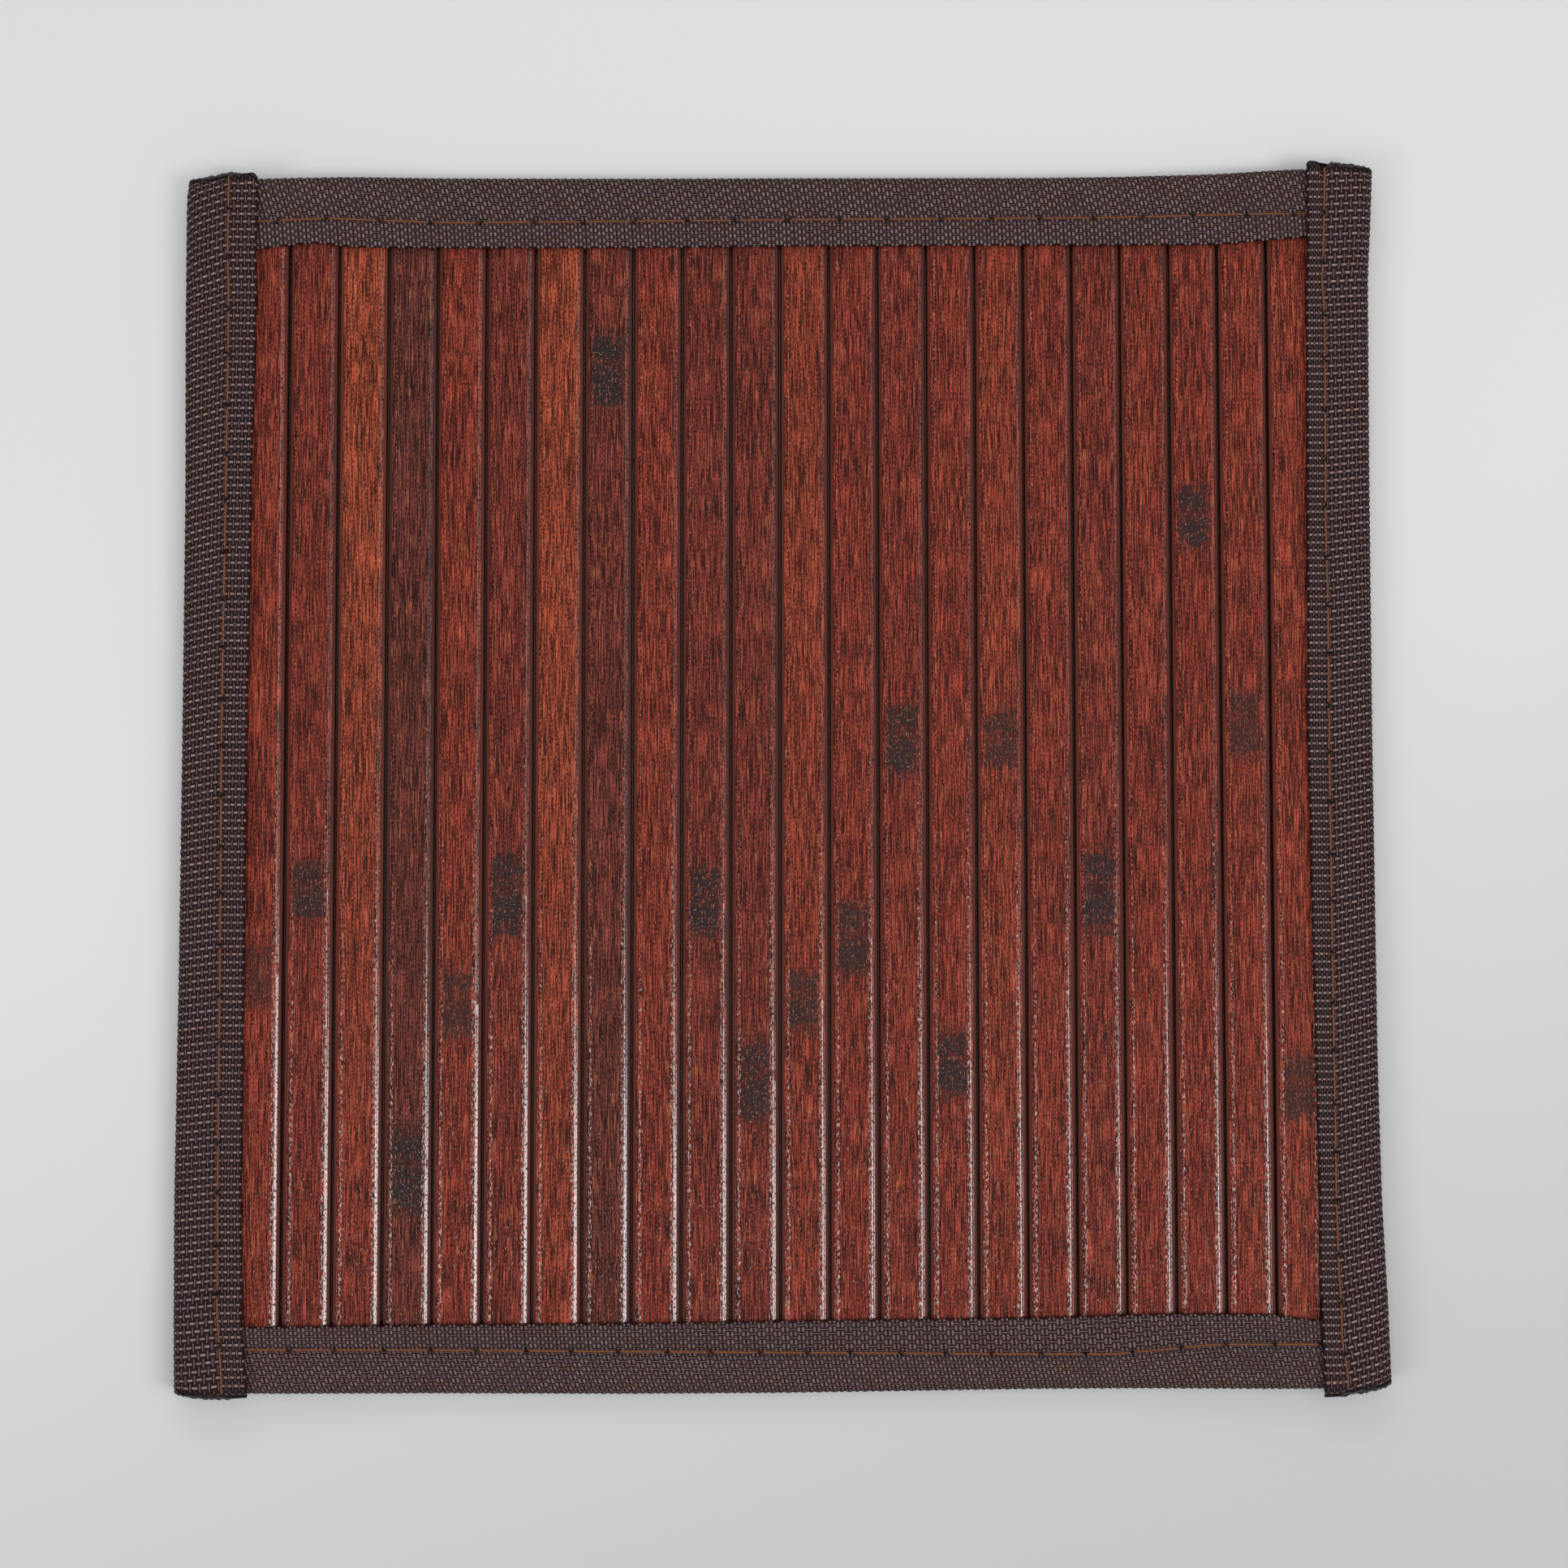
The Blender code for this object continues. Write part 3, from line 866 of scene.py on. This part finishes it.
def make_slat(index, model, look, material, chance):
    """One slat: a copy of the model, cut to length, with its joint raised, laid in its place."""
    row = SLATS[index]
    node = f"slat_{index + 1:02d}"
    slat = model.copy()
    slat.data = model.data.copy()
    slat.name = f"bamboo_{node}"
    bpy.context.collection.objects.link(slat)
    x = slat_centre(index)
    middle_x, middle_y = mat_middle()
    low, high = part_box(node)
    low_y, high_y = low.y, high.y
    trim = EDGE_SLAT_TRIM if index in (0, SLAT_COUNT - 1) else 0.0
    full = SLAT_PITCH - SLAT_GAP
    x -= math.copysign(trim / 2, x)
    step = SLAT_PITCH / 2
    tilt = math.atan2(float(edge_rise(x - step) - edge_rise(x + step)), 2 * step)
    make_active(slat)
    slat.scale = ((full - trim) / full, high_y - low_y, 1.0)
    bpy.ops.object.transform_apply(location=False, rotation=False, scale=True)
    centre = (low_y + high_y) / 2
    bpy.ops.object.mode_set(mode="EDIT")
    places = list(np.arange(-84.0, 85.0, 12.0))
    if row.knot is not None:
        knot = row.knot + middle_y - centre / MM
        places += [knot + shift for shift in (-3.0, -1.6, -0.8, 0.0, 0.8, 1.6, 3.0)]
    for place in sorted(places):
        cut_across((0, place * MM, 0), (0, 1, 0))
    if row.knot is not None:
        for reach, share in ((1.0, 0.45), (0.3, 0.55)):
            select_vertices(
                lambda p: abs(p.y / MM - knot) < reach and p.z > 1.2 * MM and abs(p.x) < 3.7 * MM)
            bpy.ops.transform.translate(value=(0, 0, look.knot_height * share))
    bpy.ops.object.mode_set(mode="OBJECT")
    slat.rotation_euler = (0.0, tilt + math.radians(chance.uniform(-0.4, 0.4)), 0.0)
    slat.location = (
        (x + middle_x) * MM, centre, (SLAT_BASE + float(edge_rise(x))) * MM)
    bpy.ops.object.transform_apply(location=True, rotation=True, scale=True)
    bpy.ops.object.shade_smooth_by_angle(angle=math.radians(40))
    mesh = slat.data
    mesh.materials.clear()
    mesh.materials.append(material)
    add_values(mesh, "seed", chance.uniform(0.0, 10.0))
    share = ramp(coordinates(mesh)[:, 1], low_y, high_y)[:, None]
    stains = stain_of(look, row.front) * (1 - share) + stain_of(look, row.back) * share
    add_values(mesh, "stain", stains, "FLOAT_VECTOR")
    knot_place = 0.0 if row.knot is None else row.knot + middle_y
    add_values(mesh, "knot", (knot_place, row.reach, row.dark), "FLOAT_VECTOR")
    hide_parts(node)
    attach(slat, "root")
    return slat


class MakeSlats(bpy.types.Operator):
    """Makes the twenty-four stained bamboo slats"""

    bl_idname = "trivet.slats"
    bl_label = "Bamboo slats"

    def execute(self, context):
        look = context.scene.trivet_bamboo
        chance = random.Random(24)
        material = bamboo_material(look)
        model = model_slat(look)
        for index in range(SLAT_COUNT):
            make_slat(index, model, look, material, chance)
        bpy.data.objects.remove(model, do_unlink=True)
        return {"FINISHED"}


# Tape

def across_places():
    """For each column of the outer surface: its zone, the share of the zone, and its warp number."""
    places = []
    warp = 0
    for zone, (warps, samples) in enumerate(
            (SELVEDGE_TO_SEAM, SEAM_TO_FOLD, FOLD_TO_UNDER_SEAM, UNDER_SEAM_TO_SELVEDGE)):
        count = warps * samples
        for step in range(count):
            place = (step + 0.5) / count
            places.append((zone, place, warp + place * warps))
        warp += warps
    return places, warp


def weave_height(warp, row, relief):
    """Height of the woven surface below the tops of its yarns, as a share of the relief."""
    warp_index, row_index = np.floor(warp), np.floor(row)
    in_warp = (warp - warp_index - 0.5) / 0.52
    in_row = (row - row_index - 0.5) / 0.27
    warp_line = -np.cos(np.pi * (row - 0.5 + warp_index))
    row_line = np.cos(np.pi * (warp - 0.5 + row_index))
    warp_top = warp_line - 1 + 1.4 * (np.sqrt(np.clip(1 - in_warp ** 2, 0, 1)) - 1)
    row_top = row_line - 1 + 1.6 * (np.sqrt(np.clip(1 - in_row ** 2, 0, 1)) - 1)
    row_top = np.where(np.abs(in_row) > 1, -9.0, row_top)
    return np.clip(np.maximum(warp_top, row_top), -2.4, 0.0) * relief


def section_point(lines, along_curve, depth):
    """Point of the fold's section at a distance from its upper selvedge, and below the outer face."""
    inner, centre, outer_radius = lines
    flat = centre - inner
    turn = np.clip((along_curve - flat) / outer_radius, 0.0, math.pi)
    past = np.maximum(along_curve - flat - math.pi * outer_radius, 0.0)
    radius = outer_radius - depth
    out = np.minimum(inner + along_curve, centre) + radius * np.sin(turn) - past
    return out, radius * np.cos(turn)


def tape_lines(tape, along):
    """Selvedge, fold centre, outer radius, seam and lower selvedge at each place along a tape."""
    radius = fold_radius(tape, along)
    fold = read(tape.sections, "fold", along)
    inner = read(tape.sections, "inner", along, 1.5)
    under = read(tape.sections, "under", along)
    seam = read(tape.seam, "out", along, 1.5)
    centre = fold - TAPE_THICKNESS / 2 - radius
    return inner, centre, radius + TAPE_THICKNESS / 2, seam, under


def holes_of(tape):
    """Places along a tape where the needle went through."""
    first, last = tape.ends[0] + 1.2, tape.ends[1] - 0.6
    start = tape.first_hole - math.floor((tape.first_hole - first) / tape.stitch) * tape.stitch
    holes = np.arange(start, last, tape.stitch)
    return holes + HOLE_WANDER * np.sin(2.3 * np.arange(len(holes)))


def from_nearest(holes, along):
    """How far each place along a tape lies from the nearest needle hole."""
    return np.min(np.abs(along[:, None] - holes[None, :]), axis=1)


def tape_grid(tape, look, holes):
    """Points, weave map and the painted shade of the needle holes and seam of a folded tape, as arrays
    of rows by columns.
    """
    pitch = look.row_pitch / MM
    start, stop = tape.ends[0] - EXTRA, tape.ends[1] + EXTRA
    rows = int(math.ceil((stop - start) / pitch)) * ROW_SAMPLES
    base = start + (np.arange(rows) + 0.5) * pitch / ROW_SAMPLES
    row = (np.arange(rows) + 0.5) / ROW_SAMPLES
    slant = np.interp(base, *columns(tape.slant, "along", "rise"))
    places, warps = across_places()
    inner, centre, radius, seam, under = tape_lines(tape, base)
    # Curve lengths from the upper selvedge to the seam, the fold's tip, the lower seam and selvedge.
    marks = np.stack([
        np.full_like(base, RIM),
        seam - inner,
        centre - inner + math.pi / 2 * radius,
        centre - inner + math.pi * radius + centre - seam,
        centre - inner + math.pi * radius + centre - under - RIM,
    ])
    outer, weave = [], []
    for zone, place, warp in places:
        curve = marks[zone] + (marks[zone + 1] - marks[zone]) * place
        outer.append((curve, np.full_like(base, warp)))
    total = marks[4]

    def shifted(curve):
        """How far along the tape a point of a row lies from the row's own place."""
        inside = 0.0 if tape.is_side else 0.3
        past_seam = np.clip(curve - marks[1], 0.0, marks[2] - marks[1])
        return slant * (past_seam + inside * np.minimum(curve - marks[1], 0.0))

    along_grid, out_grid, height_grid, warp_grid, hole_shade_grid = [], [], [], [], []

    def add_column(curve, warp, depth_share, relief):
        along = base + shifted(curve)
        lines = tape_lines(tape, along)[:3]
        nearest = from_nearest(holes, along)
        from_seam = np.minimum(np.abs(curve - marks[1]), np.abs(curve - marks[3]))
        hole = hump(np.hypot(nearest, from_seam), HOLE_RADIUS)
        depth = TAPE_THICKNESS * depth_share
        if relief:
            groove = GROOVE_DEPTH * hump(from_seam, GROOVE_RADIUS)
            depth = depth - weave_height(warp, row, look.relief / MM) + groove + HOLE_DEPTH * hole
        out, height = section_point(lines, curve, depth)
        along_grid.append(along)
        out_grid.append(out)
        height_grid.append(height)
        warp_grid.append(warp)
        hole_shade_grid.append(np.maximum(hole, SEAM_SHADE * hump(from_seam, SEAM_SHADE_RADIUS)))

    for curve, warp in outer:
        add_column(curve, warp, 0.0, True)
    loops = 0.06 * np.cos(2 * np.pi * row)
    turns = [math.pi * step / (RIM_STEPS + 1) for step in range(1, RIM_STEPS + 1)]
    for turn in turns:
        bulge = (RIM + loops) * math.sin(turn)
        add_column(total + bulge, warps + 0.3 + 0 * base, (1 - math.cos(turn)) / 2, False)
    for step in range(INNER_STEPS + 1):
        share = 1 - step / INNER_STEPS
        add_column(RIM + (total - RIM) * share, share * warps + 0 * base, 1.0, False)
    for turn in turns:
        bulge = (RIM + loops) * math.sin(turn)
        add_column(RIM - bulge, -0.3 + 0 * base, (1 + math.cos(turn)) / 2, False)
    grid = [np.stack(part, axis=1) for part in (along_grid, out_grid, height_grid, warp_grid, hole_shade_grid)]
    return grid, row


def make_tape(tape, look, material):
    """One folded tape, woven in relief on its outer face, and cut at both ends."""
    holes = holes_of(tape)
    (along, out, height, warp, hole), row = tape_grid(tape, look, holes)
    rows, count = along.shape
    points = placed(tape, along, out, height).reshape(-1, 3)
    index = np.arange(rows * count).reshape(rows, count)
    here, there = index[:-1], index[1:]
    faces = np.stack([here, np.roll(here, -1, 1), np.roll(there, -1, 1), there], axis=-1).reshape(-1, 4)
    first = points[faces[0]]
    if np.cross(first[1] - first[0], first[3] - first[0])[2] < 0:
        faces = faces[:, ::-1]
    piece = new_piece(f"woven_tape_{tape.name}", points, faces.tolist(), material)
    mesh = piece.data
    weave = np.stack([warp, np.broadcast_to(row[:, None], warp.shape)], axis=-1).reshape(-1, 2)
    layer = mesh.uv_layers.new(name="weave")
    layer.data.foreach_set("uv", weave[faces.ravel()].astype(np.float32).ravel())
    add_values(mesh, "hole", hole.ravel())
    add_values(mesh, "melted", 0.0)
    add_values(mesh, "shine", tape.shine, "FLOAT_VECTOR")
    make_active(piece)
    bpy.ops.object.mode_set(mode="EDIT")
    for end, sign in zip(tape.ends, (-1, 1)):
        place = placed(tape, np.array(end), np.array(95.0), np.array(0.0))
        direction = (0, sign, 0) if tape.is_side else (sign, 0, 0)
        cut_across(tuple(place), direction, use_fill=True, clear_outer=True)
    bpy.ops.object.mode_set(mode="OBJECT")
    if tape.cuts:
        shape_cuts(tape, piece)
    mesh.shade_smooth()
    mesh.set_sharp_from_angle(angle=math.radians(70))
    return piece


def cut_line(tape, which, out):
    """The melted end's place along the tape at this distance from the mat's middle."""
    return np.interp(out, *columns(tape.cuts[which], "out", "along"))


def shape_cuts(tape, piece):
    """Moves a side tape's cut ends to their outlines, and marks them as melted."""
    middle_x, middle_y = mat_middle()
    points = coordinates(piece.data)
    along = points[:, 1] / MM - middle_y
    out = tape.side * (points[:, 0] / MM - middle_x)
    melted = np.zeros(len(points))
    for which, (end, sign) in enumerate(zip(tape.ends, (-1, 1))):
        from_end = (end - along) * sign
        near = smooth(from_end, 3.0, 0.0)
        along = along + (cut_line(tape, which, out) - end) * near
        melted = np.maximum(melted, smooth(from_end, 1.2, 0.4))
    points[:, 1] = (along + middle_y) * MM
    piece.data.vertices.foreach_set("co", points.astype(np.float32).ravel())
    piece.data.update()
    add_values(piece.data, "melted", melted)


class MakeTapes(bpy.types.Operator):
    """Makes the four folded tapes"""

    bl_idname = "trivet.tapes"
    bl_label = "Woven tapes"

    def execute(self, context):
        scene = context.scene
        material = weave_material(scene.trivet_tape)
        for tape in TAPES:
            piece = make_tape(tape, scene.trivet_tape, material)
            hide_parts(tape.node)
            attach(piece, "root")
        return {"FINISHED"}


# Melted ends

def bead(tape, which, sign, chance):
    """A lumpy bead that follows a side tape's cut section."""
    end = tape.ends[which]
    along = np.full(BEAD_STEPS, end - sign * 0.3)
    inner, centre, radius, seam, under = tape_lines(tape, along)
    total = centre - inner + math.pi * radius + centre - under
    curve = np.linspace(0.1, 1.0, BEAD_STEPS) * (total - 0.1)
    curve[0] = 0.1
    out, height = section_point((inner, centre, radius), curve, TAPE_THICKNESS * 0.5)
    line = cut_line(tape, which, out)
    middle = placed(tape, line, out, height)
    top_out, top_height = section_point((inner, centre, radius), curve, 0.0)
    outward = placed(tape, line, top_out, top_height) - middle
    outward /= np.linalg.norm(outward, axis=1)[:, None]
    ahead = np.array([0.0, float(sign), 0.0])
    shift = chance.uniform(0, 50)
    points = []
    for step in range(BEAD_STEPS):
        ease = min(1.0, (step + 1) / 3, (BEAD_STEPS - step) / 3)
        for side in range(BEAD_SIDES):
            angle = 2 * math.pi * side / BEAD_SIDES
            lump = noise.noise(Vector((curve[step] * 1.1 + shift, side * 0.7, shift)))
            fine = noise.noise(Vector((curve[step] * 3.0 + shift, math.cos(angle), math.sin(angle))))
            thick = (BEAD_THICK + 0.05 * fine) * ease
            length = (BEAD_REACH + 0.36 * max(lump, -0.4) + 0.2 * fine) * ease
            points.append(middle[step] + (outward[step] * thick * math.sin(angle)
                                          + ahead * length * math.cos(angle)) * MM)
    return np.array(points)


def tube_faces(steps, sides, start=0):
    """Faces of a tube of rings, closed at both ends."""
    faces = []
    for step in range(steps - 1):
        for side in range(sides):
            a = start + step * sides + side
            b = start + step * sides + (side + 1) % sides
            faces.append((a, b, b + sides, a + sides))
    faces.append(tuple(start + side for side in reversed(range(sides))))
    last = start + (steps - 1) * sides
    faces.append(tuple(last + side for side in range(sides)))
    return faces


def outward_faces(piece):
    """Turns a closed mesh's faces outwards."""
    make_active(piece)
    bpy.ops.object.mode_set(mode="EDIT")
    bpy.ops.mesh.select_all(action="SELECT")
    bpy.ops.mesh.normals_make_consistent(inside=False)
    bpy.ops.object.mode_set(mode="OBJECT")


class MakeMeltedEnds(bpy.types.Operator):
    """Makes the melted beads along the side tapes' cut ends"""

    bl_idname = "trivet.melted_ends"
    bl_label = "Melted tape ends"

    def execute(self, context):
        material = melted_material(context.scene.trivet_tape)
        chance = random.Random(7)
        for tape in TAPES:
            if not tape.cuts:
                continue
            points, faces = [], []
            for which, sign in enumerate((-1, 1)):
                faces += tube_faces(BEAD_STEPS, BEAD_SIDES, len(points) * BEAD_STEPS * BEAD_SIDES)
                points.append(bead(tape, which, sign, chance))
            piece = new_piece(f"melted_ends_{tape.name}", np.concatenate(points), faces, material)
            outward_faces(piece)
            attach(piece, "root")
        return {"FINISHED"}


# Stitching

def thread_line(tape, look, holes, under):
    """Points of a seam's thread in metres, on the tape's upper or under face."""
    step = tape.stitch / STITCH_STEPS
    along = np.arange(tape.ends[0], tape.ends[1], step)
    keep = (along > tape.ends[0] + 0.3) & (along < tape.ends[1] - 0.3)
    along = along[keep]
    inner, centre, radius, seam, _ = tape_lines(tape, along)
    sink = SINK_DEPTH * hump(from_nearest(holes, along), SINK_RADIUS)
    depth = look.thread / MM / 2 + 0.02 + sink
    curve = seam - inner
    if under:
        curve = 2 * (centre - inner) + math.pi * radius - curve
    out, height = section_point((inner, centre, radius), curve, depth)
    return placed(tape, along, out, height)


def ply_points(line, look, phase):
    """One ply of the thread: rings about a helix round the thread's line."""
    ahead = np.gradient(line, axis=0)
    ahead /= np.linalg.norm(ahead, axis=1)[:, None]
    up = np.array([0.0, 0.0, 1.0])
    side = np.cross(ahead, up)
    side /= np.linalg.norm(side, axis=1)[:, None]
    rise = np.cross(side, ahead)
    gone = np.concatenate([[0.0], np.cumsum(np.linalg.norm(np.diff(line, axis=0), axis=1))]) / MM
    turn = 2 * np.pi * gone * MM / look.twist + phase
    quarter = look.thread / 4
    middle = line + quarter * 0.95 * (np.cos(turn)[:, None] * side + np.sin(turn)[:, None] * rise)
    points, places = [], []
    for step in range(PLY_SIDES):
        angle = 2 * math.pi * step / PLY_SIDES + turn
        points.append(middle + quarter * 1.15 * (
            np.cos(angle)[:, None] * side + np.sin(angle)[:, None] * rise))
        places.append(np.stack([np.full(len(line), step / PLY_SIDES), gone], axis=1))
    return np.stack(points, axis=1).reshape(-1, 3), np.stack(places, axis=1).reshape(-1, 2)


class MakeStitching(bpy.types.Operator):
    """Sews a row of thread along each tape"""

    bl_idname = "trivet.stitching"
    bl_label = "Stitching"

    def execute(self, context):
        look = context.scene.trivet_stitch
        material = thread_material(look)
        for tape in TAPES:
            points, places, faces = [], [], []
            count = 0
            for under in (False, True):
                line = thread_line(tape, look, holes_of(tape), under)
                for ply in range(look.plies):
                    ring_points, ring_places = ply_points(line, look, 2 * math.pi * ply / look.plies)
                    faces += tube_faces(len(line), PLY_SIDES, count)
                    count += len(ring_points)
                    points.append(ring_points)
                    places.append(ring_places)
            piece = new_piece(f"stitching_{tape.name}", np.concatenate(points), faces, material)
            mesh = piece.data
            layer = mesh.uv_layers.new(name="ply")
            corners = np.empty(len(mesh.loops), np.int32)
            mesh.loops.foreach_get("vertex_index", corners)
            layer.data.foreach_set("uv", np.concatenate(places)[corners].astype(np.float32).ravel())
            outward_faces(piece)
            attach(piece, "root")
        return {"FINISHED"}


# Stage

Lamp = namedtuple("Lamp", "name place size power")
LAMPS = (
    Lamp("Softbox right", (0.64, -0.28, 0.90), (0.48, 0.48), 3.9),
    Lamp("Softbox left", (-0.78, -0.42, 0.82), (0.50, 0.50), 3.2),
    Lamp("Softbox back", (-0.1, 1.0, 0.9), (0.9, 0.4), 2.2),
    Lamp("Softbox above", (0.05, 0.0, 1.6), (1.4, 1.4), 8.0),
)


class MakeStage(bpy.types.Operator):
    """Sets the table, the softboxes and the camera"""

    bl_idname = "trivet.stage"
    bl_label = "Stage"

    def execute(self, context):
        look = context.scene.trivet_stage
        scene = context.scene
        deselect()
        bpy.ops.mesh.primitive_plane_add(size=6.0, location=(0, 0, 0))
        floor = context.object
        floor.name = "table"
        floor.data.materials.append(floor_material(look))
        for lamp in LAMPS:
            data = bpy.data.lights.new(lamp.name, "AREA")
            data.shape = "RECTANGLE"
            data.size, data.size_y = lamp.size
            data.energy = lamp.power * look.light
            item = bpy.data.objects.new(lamp.name, data)
            item.location = lamp.place
            item.rotation_euler = (-Vector(lamp.place)).to_track_quat("-Z", "Y").to_euler()
            context.collection.objects.link(item)
        scene.world = bpy.data.worlds.new("Studio")
        scene.world.use_nodes = True
        background = scene.world.node_tree.nodes["Background"]
        background.inputs["Color"].default_value = (0.98, 0.99, 1.0, 1.0)
        background.inputs["Strength"].default_value = 0.32 * look.light
        middle_x, middle_y = mat_middle()
        data = bpy.data.cameras.new("Camera")
        data.lens = look.lens
        data.sensor_width = 36.0
        camera = bpy.data.objects.new("Camera", data)
        camera.location = (
            (middle_x - 11.77) * MM, (middle_y - 33.13) * MM, look.camera_height)
        camera.rotation_euler = [math.radians(angle) for angle in (3.66, -1.408, -0.042)]
        context.collection.objects.link(camera)
        scene.camera = camera
        scene.view_settings.view_transform = "Standard"
        return {"FINISHED"}


class TrivetPanel(bpy.types.Panel):
    """Lists the trivet's pieces and settings"""

    bl_idname = "VIEW3D_PT_trivet"
    bl_label = "Bamboo trivet"
    bl_space_type = "VIEW_3D"
    bl_region_type = "UI"
    bl_category = "Trivet"

    def draw(self, context):
        for operator in OPERATORS:
            self.layout.operator(operator.bl_idname)
        for attribute, title, settings in PANELS:
            box = self.layout.box()
            box.label(text=title)
            for name in settings.__annotations__:
                box.prop(getattr(context.scene, attribute), name)


OPERATORS = (MakeSlats, MakeTapes, MakeMeltedEnds, MakeStitching, MakeStage)


def register():
    for attribute, _, settings in PANELS:
        bpy.utils.register_class(settings)
        setattr(bpy.types.Scene, attribute, PointerProperty(type=settings))
    for operator in (*OPERATORS, TrivetPanel):
        bpy.utils.register_class(operator)


def unregister():
    for operator in reversed((*OPERATORS, TrivetPanel)):
        bpy.utils.unregister_class(operator)
    for attribute, _, settings in reversed(PANELS):
        delattr(bpy.types.Scene, attribute)
        bpy.utils.unregister_class(settings)


def main():
    register()
    bpy.ops.trivet.slats()
    bpy.ops.trivet.tapes()
    bpy.ops.trivet.melted_ends()
    bpy.ops.trivet.stitching()
    bpy.ops.trivet.stage()


if __name__ == "__main__":
    main()
